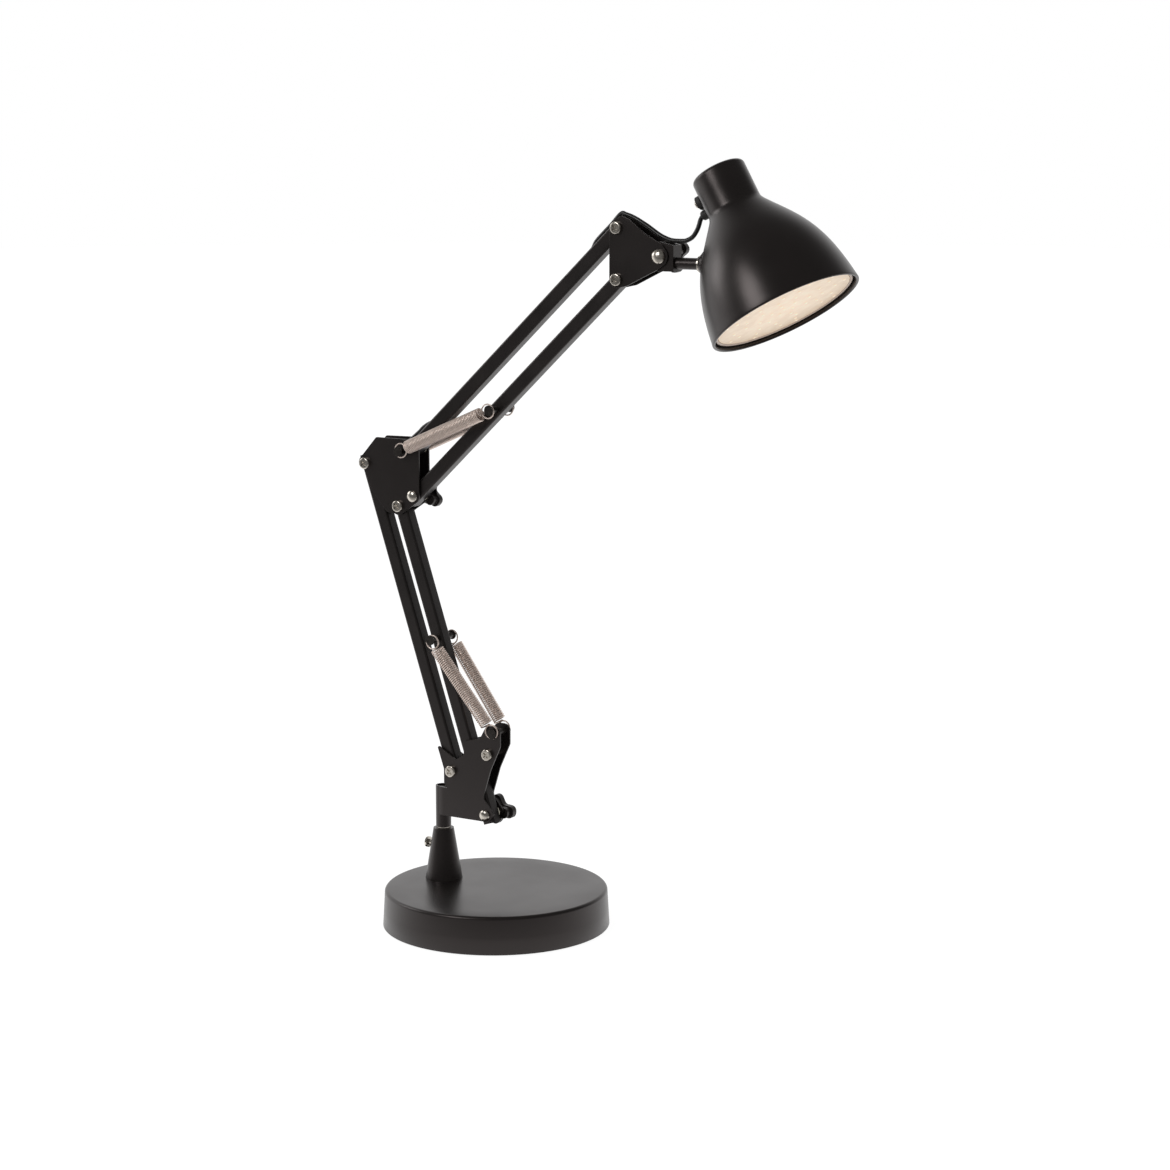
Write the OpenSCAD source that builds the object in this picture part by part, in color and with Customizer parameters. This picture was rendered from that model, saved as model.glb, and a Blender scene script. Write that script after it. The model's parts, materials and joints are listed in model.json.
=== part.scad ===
// Swing-arm table lamp: a round weighted base, a cone socket with a turning bracket, two pairs of
// square tubes that work as parallelograms, tension springs, and a bell-shaped LED shade.
// Millimetres. The origin is the middle of the base's underside, +Z is up and +X points to the shade.

/* [Base] */
// Diameter of the base cover at its lower rim
base_d = 165; // [140:1:200]
// Height of the base
base_h = 28; // [22:1:36]
// How much smaller the cover's radius is at the top than at the rim
base_draft = 1.4; // [0.5:0.1:4]
// Radius of the cover's upper edge
base_edge_r = 2.4; // [1:0.1:5]
// Sheet thickness of the cover
cover_t = 1.5; // [1:0.1:2.5]
// Thickness of the felt pad under the weight
pad_t = 2; // [1:0.1:3]
// Distance of the post's axis behind the middle of the base
post_back = 46; // [0:1:50]

/* [Socket] */
// Diameter of the cone socket at its foot
cone_foot_d = 27.3; // [22:0.1:34]
// Diameter of the cone socket at its rim
cone_rim_d = 15; // [13:0.1:20]
// Height of the cone socket
cone_h = 38; // [30:1:50]
// Diameter of the pan pin that turns in the socket
pan_pin_d = 8.6; // [7:0.1:9]
// Head diameter of the set screw in the socket
set_head_d = 8; // [6:0.1:10]

/* [Arms] */
// Width of the square tubes
bar_w = 10; // [9:0.5:11]
// Corner radius of the square tubes
bar_r = 1.5; // [0.5:0.1:2]
// Wall of the square tubes
bar_wall = 1.2; // [0.8:0.1:1.5]
// How far a tube runs on past its pivots
bar_end = 6.5; // [6:0.1:6.6]
// Length of the lower tubes between pivots
lower_len = 233; // [180:1:300]
// Length of the upper tubes between pivots
upper_len = 235; // [180:1:300]
// Angle of the lower tubes above the +X axis
lower_angle = 108.4; // [104:0.1:112]
// Angle of the upper tubes above the +X axis
upper_angle = 43.2; // [30:0.1:50]
// Where the lower arm's springs hook on, along its front tube
lower_stud_at = 133; // [100:1:150]
// Where the upper arm's springs hook on, along its bottom tube
upper_stud_at = 97.2; // [90:0.1:120]

/* [Brackets] */
// Sheet thickness of the bracket plates
plate_t = 1.2; // [0.8:0.1:1.6]
// Space between a tube and a plate, filled by a washer
washer_space = 0.8; // [0.6:0.1:1.2]
// Height of the lower bracket's rear pivot above the base
rear_pivot_z = 111; // [108:1:120]
// Rear pivot of the lower bracket ahead of the post's axis
rear_pivot_x = 12; // [11:0.5:14]
// Front pivot ahead of the rear pivot, in the lower bracket and the elbow
link_x = 29; // [27:0.5:32]
// Front pivot below the rear pivot, in the lower bracket and the elbow
link_drop = 29.5; // [28:0.5:31]
// Height between the two upper pivots of the elbow
upper_link = 35; // [32:0.5:38]

/* [Fasteners] */
// Diameter of the pivot screws
screw_d = 5; // [4:0.1:5.5]
// Head diameter of the pivot screws
head_d = 8.5; // [7:0.1:9.5]
// Head height of the pivot screws
head_h = 2.8; // [2:0.1:3.5]
// Head diameter of the tilt bolt
tilt_head_d = 9.9; // [8.5:0.1:10.5]
// Width across flats of the nuts
nut_af = 8; // [7:0.1:9]
// Height of the nuts
nut_h = 3.5; // [2.5:0.1:4.5]
// Span of a knob's three lobes, as the circle round their tips
knob_span = 23.6; // [20:0.2:26]

/* [Springs] */
// Outer diameter of the springs
spring_d = 10; // [9:0.1:10.4]
// Wire diameter of the springs
wire_d = 1.2; // [1:0.05:1.3]
// Curls of each spring
spring_turns = 20; // [12:1:20]
// Distance of a spring's axis from the middle plane of the lamp
spring_y = 12.6; // [12.4:0.1:14]
// Diameter of the studs that the springs hook on
stud_d = 5; // [4.4:0.1:5.6]
// Diameter of the collar at a stud's end
stud_collar_d = 7.2; // [6.6:0.1:7.8]

/* [Head] */
// Tilt bolt ahead of the head bracket's lower pivot
tilt_x = 33; // [30:0.5:38]
// Tilt bolt above the head bracket's lower pivot
tilt_z = 16.4; // [14:0.2:18]
// Stem's axis below the tilt bolt
stem_drop = 4.6; // [3:0.1:6]
// Diameter of the stem
stem_d = 8; // [6:0.1:9]
// Length of the stem between the clevis and the shade's wall
stem_len = 24.5; // [22:0.5:34]
// Diameter of the lead
lead_d = 3.2; // [2.8:0.1:3.6]

/* [Shade] */
// Outer diameter of the shade at its mouth
mouth_d = 106.4; // [98:0.2:116]
// Outer diameter of the shade's neck
neck_d = 37.4; // [33:0.2:40]
// Length of the straight part of the neck
neck_len = 29; // [27:0.5:32]
// Length of the shade along its axis
shade_len = 108.1; // [100:0.1:115]
// Sheet thickness of the shade
shade_t = 1.2; // [0.8:0.1:1.6]
// Tilt of the shade's axis from the vertical
shade_tilt = 31.2; // [28:0.2:36]
// Turn of the shade about the stem
shade_turn = -3.8; // [-20:0.1:20]
// Distance of the diffuser behind the mouth
recess = 3.3; // [3:0.1:9]
// Thickness of the diffuser
diffuser_t = 2.5; // [1.5:0.1:4]

/* [Hidden] */
$fn = 48;

// Finishes, as sheet colours
BLACK = "#2a2624";
NICKEL = "#c9c4bc";
RUBBER = "#1c1b1a";
BRASS = "#8d8578";
NYLON = "#d8d4c8";
CREAM = "#f0dcc4";
OXIDE = "#3a3633";

// Clearances
fit = 0.05;        // radial gap of a pin that turns in its hole
slack = 0.3;       // radial gap at a pivot that closes a linkage
face_gap = 0.1;    // gap between faces that slide on each other
seat_gap = 0.3;    // gap between curved faces that only rest on each other

// Planes of the brackets, as distances from the middle plane
plate_in = bar_w / 2 + washer_space;
plate_out = plate_in + plate_t;
bush_d = screw_d + 2 * fit + 2;
base_top = base_h;
post_x = -post_back;

// Pivots as [x, z] points
function along(p, angle, d) = p + d * [cos(angle), sin(angle)];
P1 = [post_x + rear_pivot_x, rear_pivot_z];
P2 = P1 + [link_x, -link_drop];
A1 = along(P1, lower_angle, lower_len);
A2 = along(P2, lower_angle, lower_len);
B1 = A2 + [12.5, 8];
B2 = B1 + [0, upper_link];
H2 = along(B1, upper_angle, upper_len);
H1 = along(B2, upper_angle, upper_len);
T = H2 + [tilt_x, tilt_z];
TIE = P2 + [2.8, 45.5];
S1 = P2 + [8.1, 61.8];
M1 = along(P2, lower_angle, lower_stud_at);
E1 = along(B1, upper_angle, upper_stud_at);
ELBOW_HOOK = B2 + [-7.5, -2.3];

// Heights of the socket and the bracket's roll
cone_top = base_top + cone_h;
pin_floor = base_top + 10;
roll_bottom = cone_top + 1;
roll_top = rear_pivot_z - 13;
roll_d = pan_pin_d + 2 * face_gap + 2 * plate_t;
plate_bottom = P2[1] - 4.6;
screw_gap = 0.25;

// Clevis and stem
clevis_t = 2;
clevis_out = plate_in - face_gap;
clevis_r = 10;
clevis_web_up = 7.6;
clevis_web_x = T[0] + 10.5;
stem_z = T[1] - stem_drop;
stem_wall_x = clevis_web_x + stem_len;

// Shade: its own frame has Z along its axis towards the neck and its origin where the stem's axis
// crosses that axis
neck_r = neck_d / 2;
mouth_r = mouth_d / 2;
stem_cross = shade_len * 0.669;
neck_z = stem_cross;
mouth_z = stem_cross - shade_len;
shade_steps = 14;
// Radius and height of the shade's bell, from a cubic curve between the neck and the mouth
bell = [[neck_r, neck_z - neck_len], [neck_r + 15.5, neck_z - neck_len - 22.3],
        [mouth_r - 5, mouth_z + 47], [mouth_r, mouth_z]];
function cubic(p, t) = pow(1 - t, 3) * p[0] + 3 * t * pow(1 - t, 2) * p[1]
    + 3 * t * t * (1 - t) * p[2] + pow(t, 3) * p[3];
function bell_inner(t) = let (
        p = cubic(bell, t), q = cubic(bell, t + 0.01) - cubic(bell, t - 0.01),
        n = [q[1], -q[0]] / norm(q))
    p + shade_t * n;
// The bell's parameter and outer radius at a height, by halving the interval
function bell_at(z, a = 0, b = 1, k = 18) = let (m = (a + b) / 2)
    k == 0 ? m : cubic(bell, m)[1] > z ? bell_at(z, m, b, k - 1) : bell_at(z, a, m, k - 1);
function bell_r(z) = cubic(bell, bell_at(z))[0];
// Where the stem's axis meets the bell: the distance from the shade's axis along the stem
function wall_reach(a = 10, b = 70, k = 24) = let (m = (a + b) / 2, z = m * sin(shade_tilt))
    k == 0 ? m : bell_r(z) > m * cos(shade_tilt) ? wall_reach(m, b, k - 1) : wall_reach(a, m, k - 1);
stem_reach = wall_reach();
Q = [stem_wall_x + stem_reach, stem_z];

// Circle points and outlines with rounded corners
function unit(v) = v / norm(v);
function arc(c, r, a, b, n = 8) = [for (i = [0:n]) c + r * [cos(a + (b - a) * i / n), sin(a + (b - a) * i / n)]];
function turn(a, b) = (b - a + 540) % 360 - 180;
function corner(p, q, s, r, n) = let (
        u = unit(p - q), v = unit(s - q), half = acos(max(-1, min(1, u * v))) / 2,
        c = q + unit(u + v) * r / sin(half), e = q + u * r / tan(half) - c, f = q + v * r / tan(half) - c,
        a = atan2(e[1], e[0]))
    arc(c, r, a, a + turn(a, atan2(f[1], f[0])), n);
// Entries for a round about a pivot, counterclockwise from angle a to angle b
function round_at(c, r, a, b) = [for (q = arc(c, r, a, b, 5)) [q[0], q[1], 0]];
// Each entry is [x, y, radius]
function rounded(pts, n = 4) = let (m = len(pts), xy = [for (p = pts) [p[0], p[1]]]) [
    for (i = [0:m - 1]) each pts[i][2] == 0 ? [xy[i]]
        : corner(xy[(i + m - 1) % m], xy[i], xy[(i + 1) % m], pts[i][2], n)];

// A sheet or a rod across the lamp, placed by its limits along Y
module sheet_y(y0, y1) {
    translate([0, y1, 0]) rotate([90, 0, 0]) linear_extrude(y1 - y0) children();
}
module rod_y(p, r, y0, y1) {
    translate([p[0], y0, p[1]]) rotate([-90, 0, 0]) cylinder(r = r, h = y1 - y0);
}
module ring_y(p, r, bore, y0, y1) {
    difference() {
        rod_y(p, r, y0, y1);
        rod_y(p, bore, y0 - 1, y1 + 1);
    }
}

// A tube swept along points: the frame is carried from ring to ring without twist
function tangents(p) = let (n = len(p)) [for (i = [0:n - 1]) unit(p[min(i + 1, n - 1)] - p[max(i - 1, 0)])];
function first_normal(t) = unit(cross(t, abs(t[1]) < 0.9 ? [0, 1, 0] : [1, 0, 0]));
function normals(t) = [for (i = 0, n = first_normal(t[0]); i < len(t);
    i = i + 1, n = i < len(t) ? unit(n - (n * t[i]) * t[i]) : n) n];
module swept(path, r, sides) {
    t = tangents(path);
    n = normals(t);
    last = len(path) - 1;
    points = [for (i = [0:last]) let (b = cross(t[i], n[i])) for (k = [0:sides - 1])
        path[i] + r * (cos(360 * k / sides) * n[i] + sin(360 * k / sides) * b)];
    walls = [for (i = [0:last - 1]) for (k = [0:sides - 1]) let (
            a = i * sides + k, b = i * sides + (k + 1) % sides)
        each [[a, a + sides, b], [b, a + sides, b + sides]]];
    ends = [for (k = [1:sides - 2]) each [[0, k, k + 1],
        [last * sides, last * sides + k + 1, last * sides + k]]];
    polyhedron(points, concat(walls, ends), convexity = 10);
}
// A smooth curve through chosen points, with steps between each two of them
function curve(p, steps) = let (n = len(p)) concat([for (i = [0:n - 2]) for (j = [0:steps - 1]) let (
        a = p[max(i - 1, 0)], b = p[i], c = p[i + 1], d = p[min(i + 2, n - 1)], s = j / steps)
    0.5 * (2 * b + (c - a) * s + (2 * a - 5 * b + 4 * c - d) * s * s
        + (3 * b - a - 3 * c + d) * s * s * s)], [p[n - 1]]);

// Base
module base_cover() {
    outer = base_d / 2;
    top_r = outer - base_draft;
    low = pad_t * 0.4;
    color(BLACK) difference() {
        rotate_extrude($fn = 96) polygon(concat(
            [[0, base_top - cover_t], [top_r - base_edge_r, base_top - cover_t]],
            [[top_r - cover_t, base_top - base_edge_r], [outer - cover_t, low], [outer, low]],
            arc([top_r - base_edge_r, base_top - base_edge_r], base_edge_r, 0, 90, 6),
            [[0, base_top]]));
        translate([post_x, 0, base_top - cover_t - 1]) cylinder(d = 6.4, h = cover_t + 2);
    }
}
weight_r = base_d / 2 - cover_t - base_draft - 1.5;
weight_top = base_top - cover_t - face_gap;
module base_weight() {
    color("dimgray") difference() {
        translate([0, 0, pad_t]) cylinder(r = weight_r, h = weight_top - pad_t, $fn = 96);
        translate([post_x, 0, pad_t - 1]) cylinder(d = 13, h = 6);
        translate([post_x, 0, 0]) cylinder(d = 6.4, h = base_h);
    }
}
module base_pad() {
    color(RUBBER) difference() {
        cylinder(r = weight_r - 2, h = pad_t, $fn = 96);
        translate([post_x, 0, -1]) cylinder(d = 13, h = pad_t + 2);
    }
}
module socket_bolt() {
    color(NICKEL) difference() {
        union() {
            translate([post_x, 0, pad_t + 1]) cylinder(d = 10, h = 3.9);
            translate([post_x, 0, pad_t + 1]) cylinder(d = 6, h = base_top + 7 - pad_t);
        }
        translate([post_x, 0, pad_t]) cylinder(d = 5.8, h = 3, $fn = 6);
    }
}

// Socket
set_z = base_top + cone_h * 0.66;
function cone_r(z) = (cone_foot_d + (cone_rim_d - cone_foot_d) * (z - base_top) / cone_h) / 2;
module cone_socket() {
    color(BLACK) difference() {
        translate([post_x, 0, base_top])
            cylinder(d1 = cone_foot_d, d2 = cone_rim_d, h = cone_h, $fn = 64);
        translate([post_x, 0, base_top - 1]) cylinder(d = 6 + 2 * fit, h = 10);
        translate([post_x, 0, pin_floor]) cylinder(r = pan_pin_d / 2 + fit, h = cone_h);
        translate([post_x, 0, set_z]) rotate([0, -90, 0]) cylinder(d = 4 + 2 * fit, h = cone_foot_d);
    }
}
module set_screw() {
    out = cone_r(set_z) + 3.4;
    color(NICKEL) difference() {
        union() {
            translate([post_x - pan_pin_d / 2 - face_gap - fit, 0, set_z]) rotate([0, -90, 0])
                cylinder(d = 4, h = out - pan_pin_d / 2);
            translate([post_x - out, 0, set_z]) rotate([0, -90, 0]) cylinder(d = set_head_d, h = 1.6);
        }
        translate([post_x - out - 2, -3, set_z - 0.5]) cube([1, 6, 1]);
    }
}

// Lower bracket: two plates in one sheet, rolled round the pan pin behind them
function lower_outline() = rounded([
    [post_x + 8, plate_bottom, 0], [P2[0] + 3, plate_bottom, 4], [P2[0] + 8, P2[1] + 1.5, 1.5],
    [P2[0] - 1.6, P2[1] + 13, 5], [P2[0] + 5, P2[1] + 34, 6], [S1[0] + 5.4, S1[1] - 9.5, 4],
    [S1[0] + 5.4, S1[1] + 5.4, 5], [S1[0] - 6.4, S1[1] + 5, 4.5], [S1[0] - 12, S1[1] - 5, 2],
    [P1[0] + 10.6, P1[1] + 23.5, 1.5], [P1[0] + 11, P1[1] + 13.5, 3],
    [P1[0] + 4, P1[1] + 9, 2], [P1[0] - 12.6, P1[1] + 18.5, 1], [P1[0] - 6.6, P1[1] + 1, 3],
    [P1[0] - 6.6, P1[1] - 9, 1.5], [post_x + 8, roll_top, 0]]);
module jog() {
    inner = roll_d / 2 - plate_t;
    polygon([[0, inner], [6, plate_in], [8.5, plate_in], [8.5, plate_out], [5, plate_out], [0, roll_d / 2]]);
}
module lower_bracket() {
    color(BLACK) difference() {
        union() {
            for (side = [-1, 1])
                sheet_y(side > 0 ? plate_in : -plate_out, side > 0 ? plate_out : -plate_in)
                    polygon(lower_outline());
            translate([post_x, 0, roll_bottom]) linear_extrude(roll_top - roll_bottom) difference() {
                circle(d = roll_d);
                circle(d = roll_d - 2 * plate_t);
            }
            for (side = [0, 1]) mirror([0, side, 0]) translate([post_x, 0, plate_bottom])
                linear_extrude(roll_top - plate_bottom) jog();
        }
        for (p = [P1, P2, TIE]) rod_y(p, screw_d / 2 + fit, -20, 20);
        rod_y(S1, stud_d / 2 + fit, -20, 20);
    }
}
module pan_pin() {
    color(NICKEL) translate([post_x, 0, pin_floor + face_gap]) union() {
        cylinder(d = pan_pin_d, h = roll_top - 2 - pin_floor);
        translate([0, 0, roll_bottom - pin_floor - 0.8]) cylinder(d = pan_pin_d + 2, h = 0.6);
    }
}

// Fasteners
module pan_head(p, d, h, dome) {
    // Round head in front of the front plate, with a cross recess
    difference() {
        translate([p[0], -plate_out, p[1]]) rotate([90, 0, 0]) rotate_extrude()
            polygon(concat([[0, 0], [d / 2, 0], [d / 2, h - dome]],
                arc([d / 2 - dome, h - dome], dome, 0, 90, 4), [[0, h]]));
        for (a = [45, 135]) translate([p[0], -plate_out - h, p[1]]) rotate([0, a, 0])
            cube([d * 0.56, 2.2, 1.1], center = true);
    }
}
// Smooth domed head of a clamping bolt
module domed_bolt(p, d, h) {
    edge = 0.6;
    color(NICKEL) union() {
        translate([p[0], -plate_out, p[1]]) rotate([90, 0, 0]) rotate_extrude()
            polygon(concat([[0, 0], [d / 2, 0]],
                [for (i = [0:7]) [d / 2 * cos(90 * i / 8), edge + (h - edge) * sin(90 * i / 8)]], [[0, h]]));
        rod_y(p, screw_d / 2, -plate_out, plate_out + 8);
    }
}
module screw(p, y_end) {
    color(NICKEL) union() {
        pan_head(p, head_d, head_h, 1.2);
        rod_y(p, screw_d / 2, -plate_out, y_end);
    }
}
module hex_nut(p) {
    color(NICKEL) difference() {
        translate([p[0], plate_out + 0.4, p[1]]) rotate([-90, 0, 0])
            cylinder(d = nut_af / cos(30), h = nut_h, $fn = 6);
        rod_y(p, screw_d / 2 + fit, 0, 30);
    }
    color(NICKEL) ring_y(p, nut_af / 2 + 0.3, screw_d / 2 + fit, plate_out, plate_out + 0.4);
}
screw_end = plate_out + 0.4 + nut_h + 0.8;
// Sleeve washers on both sides of a tube at a pivot
module pivot_washers(p, bore) {
    for (side = [-1, 1]) {
        a = side * (bar_w / 2 + face_gap);
        b = side * plate_in;
        color(NYLON) ring_y(p, bar_w / 2 - 0.4, bore, min(a, b), max(a, b));
    }
}
module lower_screws() {
    for (p = [P1, TIE]) screw(p, screw_end);
}
module lower_pivot_bolt() {
    domed_bolt(P2, head_d, head_h);
}
module lower_nuts() {
    for (p = [P1, TIE]) hex_nut(p);
}
module lower_washers() {
    for (p = [P1, P2]) pivot_washers(p, screw_d / 2 + fit);
}
// Stud across the lamp with a collar at each end, which keeps the spring loops on
collar_t = 0.9;
module spring_stud(p, half) {
    color(OXIDE) rotate_about_y(p) polygon([[0, -half], [stud_collar_d / 2 - 0.3, -half],
        [stud_collar_d / 2, -half + 0.3], [stud_collar_d / 2, -half + collar_t],
        [stud_d / 2, -half + collar_t + 0.25], [stud_d / 2, half - collar_t - 0.25],
        [stud_collar_d / 2, half - collar_t], [stud_collar_d / 2, half - 0.3],
        [stud_collar_d / 2 - 0.3, half], [0, half]]);
}
// Short stud that is fixed in one plate of the elbow, with a shoulder on the plate
module plate_stud(p, side) {
    half = stud_half;
    color(OXIDE) mirror([0, side, 0]) rotate_about_y(p) polygon([[0, -half], [stud_collar_d / 2 - 0.3, -half],
        [stud_collar_d / 2, -half + 0.3], [stud_collar_d / 2, -half + collar_t],
        [stud_d / 2, -half + collar_t + 0.25], [stud_d / 2, -plate_out - 0.8], [stud_d / 2 + 0.8, -plate_out - 0.8],
        [stud_d / 2 + 0.8, -plate_out], [stud_d / 2, -plate_out], [stud_d / 2, -plate_in], [0, -plate_in]]);
}
module rotate_about_y(p) {
    translate([p[0], 0, p[1]]) rotate([-90, 0, 0]) rotate_extrude() children();
}
stud_half = spring_y + 1.9;
// The lower springs hook on close beside the bracket's plates and spread towards the arm
spring_low_y = plate_out + wire_d / 2 + 0.55;
module bracket_spring_stud() {
    spring_stud(S1, spring_low_y + 2.1);
}

// Square tubes
function square_outline(w, r) = rounded([[-w / 2, -w / 2, r], [w / 2, -w / 2, r], [w / 2, w / 2, r], [-w / 2, w / 2, r]]);
module tube(p, angle, length, pivots, studs, slots) {
    color(BLACK) difference() {
        translate([p[0], 0, p[1]]) rotate([0, -angle, 0]) difference() {
            translate([-bar_end, 0, 0]) rotate([0, 90, 0]) linear_extrude(length + 2 * bar_end) difference() {
                polygon(square_outline(bar_w, bar_r));
                polygon(square_outline(bar_w - 2 * bar_wall, 0.5));
            }
            for (s = slots) translate([s[0] - slot_len / 2, -slot_w / 2, s[1] > 0 ? 0 : -bar_w])
                cube([slot_len, slot_w, bar_w]);
        }
        for (s = pivots) rod_y(along(p, angle, s), bush_d / 2, -bar_w, bar_w);
        for (s = studs) rod_y(along(p, angle, s), stud_d / 2 + fit, -bar_w, bar_w);
    }
}
slot_len = 20;
slot_w = lead_d + 0.8;
module bushes(points, bores) {
    for (i = [0:len(points) - 1]) color(NYLON) ring_y(points[i],
        bush_r(bores[i]) - 0.02, bores[i], -bar_w / 2, bar_w / 2);
}
function bush_r(bore) = bush_d / 2;
turning = screw_d / 2 + fit;
closing = screw_d / 2 + slack;
module lower_front_bar() {
    tube(P2, lower_angle, lower_len, [0, lower_len], [lower_stud_at], []);
}
module lower_front_bushes() {
    bushes([P2, A2], [turning, closing]);
}
module lower_rear_bar() {
    tube(P1, lower_angle, lower_len, [0, lower_len], [], [[lead_up, -1]]);
}
module lower_rear_bushes() {
    bushes([P1, A1], [turning, turning]);
}
module lower_arm_stud() {
    spring_stud(M1, stud_half);
}
module upper_bottom_bar() {
    tube(B1, upper_angle, upper_len, [0, upper_len], [upper_stud_at], []);
}
module upper_bottom_bushes() {
    bushes([B1, H2], [turning, closing]);
}
module upper_arm_stud() {
    spring_stud(E1, stud_half);
}
lead_up = lower_len - 26;
lead_in = 25;
lead_out = upper_len - 30;
module upper_top_bar() {
    tube(B2, upper_angle, upper_len, [0, upper_len], [], [[lead_in, 1], [lead_out, 1]]);
}
module upper_top_bushes() {
    bushes([B2, H1], [stud_d / 2 + fit, turning]);
}

// Springs: a full loop round each stud, drawn in from the last curl, and curls between them
loop_r = 5.05;
loop_in = loop_r - wire_d / 2 - stud_d / 2 - seat_gap;
coil_r = (spring_d - wire_d) / 2;
coil_start = loop_in + loop_r + 1.9;
function loop_points() = concat(
    [for (a = [-330:37.5:-30]) [loop_in + loop_r * cos(a), loop_r * sin(a), 0]],
    [[coil_start - 1.1, 1.9 * cos(120), 1.9 * sin(120)], [coil_start - 0.6, 3.2 * cos(80), 3.2 * sin(80)],
     [coil_start - 0.3, coil_r * cos(45), coil_r * sin(45)]]);
loop_tip = [loop_in + loop_r * cos(30) + wire_d * sin(30), loop_r * sin(30) - wire_d * cos(30), 0];
// Points of a spring of a given length along the first axis, from stud to stud
function spring_points(length) = let (
        near = concat([loop_tip], loop_points()),
        rings = 8 * spring_turns, run = length - 2 * coil_start)
    concat(near,
        [for (i = [0:rings]) [coil_start + run * i / rings, coil_r * cos(45 * i), -coil_r * sin(45 * i)]],
        [for (i = [len(near) - 1:-1:0]) [length - near[i][0], near[i][1], -near[i][2]]]);
// Points along a line beside the lamp's plane, which may spread from y to y_far along its length
function placed(pts, p, q, y, y_far) = let (u = unit(q - p), k = (y_far - y) / norm(q - p))
    [for (s = pts) [p[0] + u[0] * s[0] - u[1] * s[1], y + k * s[0] + s[2], p[1] + u[1] * s[0] + u[0] * s[1]]];
// Least gap between stretches of a wire that lie more than two rings apart
function self_gap(p, d) = min([for (i = [0:len(p) - 5]) min([for (j = [i + 4:len(p) - 1]) norm(p[i] - p[j])])]) - d;
module spring(p, q, y, y_far) {
    points = placed(spring_points(norm(q - p)), p, q, y, y_far);
    echo("least gap of the spring's wire to itself, mm", self_gap(points, wire_d));
    color(NICKEL) swept(points, wire_d / 2, 6);
}
module lower_spring_front() {
    spring(S1, M1, -spring_low_y, -spring_y);
}
module lower_spring_rear() {
    spring(S1, M1, spring_low_y, spring_y);
}
module upper_spring_front() {
    spring(ELBOW_HOOK, E1, -spring_y, -spring_y);
}
module upper_spring_rear() {
    spring(ELBOW_HOOK, E1, spring_y, spring_y);
}

// Elbow
// The rear plate stands up behind the upper tube
function elbow_outline(rear) = rounded(concat(
    round_at(A2, 6.6, 240, 285), round_at(B1, 5.9, 300, 360),
    rear ? [[B2[0] + 5.7, B2[1] + 1, 4], [B2[0] + 7, B2[1] + 15.6, 1.5], [B2[0] + 1.6, B2[1] + 14.8, 3],
            [B2[0] - 6.8, B2[1] + 6.6, 3]]
         : [[B2[0] + 5.9, B2[1] + 5.9, 3.5]],
    [[A1[0] + 9.8, A1[1] + 19.6, 2]],
    round_at(A1, 5.9, 145, 200),
    [[A1[0] - 1, A1[1] - 5, 3], [A1[0] + 5.9, A1[1] - 19.6, 4], [A2[0] - 10.2, A2[1] - 5.1, 3]]));
module elbow_plate(y0, y1) {
    color(BLACK) difference() {
        sheet_y(y0, y1) polygon(elbow_outline(y0 > 0));
        for (p = [A1, A2, B1]) rod_y(p, screw_d / 2 + fit, -20, 20);
        for (p = [B2, ELBOW_HOOK]) rod_y(p, stud_d / 2 + fit, -20, 20);
    }
}
module elbow_front_plate() {
    elbow_plate(-plate_out, -plate_in);
}
module elbow_rear_plate() {
    elbow_plate(plate_in, plate_out);
}
module elbow_screws() {
    for (p = [A1, A2]) screw(p, screw_end);
}
module elbow_pivot_bolt() {
    domed_bolt(B1, head_d, head_h);
}
module elbow_nuts() {
    for (p = [A1, A2]) hex_nut(p);
}
module elbow_washers() {
    for (p = [A1, A2, B1]) pivot_washers(p, screw_d / 2 + fit);
    pivot_washers(B2, stud_d / 2 + fit);
}
// A flat rivet at the upper pivot, and the two short studs that hold the springs
module elbow_spring_pin() {
    head = 0.4;
    color(OXIDE) union() {
        rod_y(B2, stud_d / 2, -plate_out, plate_out);
        for (side = [-1, 1]) let (a = side * plate_out, b = side * (plate_out + head))
            rod_y(B2, stud_d / 2 + 1, min(a, b), max(a, b));
    }
    for (side = [0, 1]) plate_stud(ELBOW_HOOK, side);
}

// Head bracket
function head_outline() = rounded(concat(
    round_at(H2, 5.9, 180, 270),
    [[H2[0] + 8, H2[1] - 4.2, 3], [T[0] - 7.5, T[1] - 12.1, 20], [T[0] - 1.6, T[1] - 9.4, 5]],
    round_at(T, 7, -60, 45),
    [[T[0] + 2.4, T[1] + 8, 3], [T[0] - 10.5, T[1] + 14.8, 30], [H1[0] + 9.4, H1[1] + 6, 2],
     [H1[0] + 3.4, H1[1] + 8.3, 2]],
    round_at(H1, 5.9, 135, 180)));
module head_plate(y0, y1) {
    color(BLACK) difference() {
        sheet_y(y0, y1) polygon(head_outline());
        for (p = [H1, H2, T]) rod_y(p, screw_d / 2 + fit, -20, 20);
    }
}
module head_front_plate() {
    head_plate(-plate_out, -plate_in);
}
module head_rear_plate() {
    head_plate(plate_in, plate_out);
}
module head_screws() {
    for (p = [H1, H2]) screw(p, screw_end);
}
module head_nuts() {
    for (p = [H1, H2]) hex_nut(p);
}
module head_washers() {
    for (p = [H1, H2]) pivot_washers(p, screw_d / 2 + fit);
}
module tilt_bolt() {
    domed_bolt(T, tilt_head_d, head_h + 0.6);
}

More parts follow.
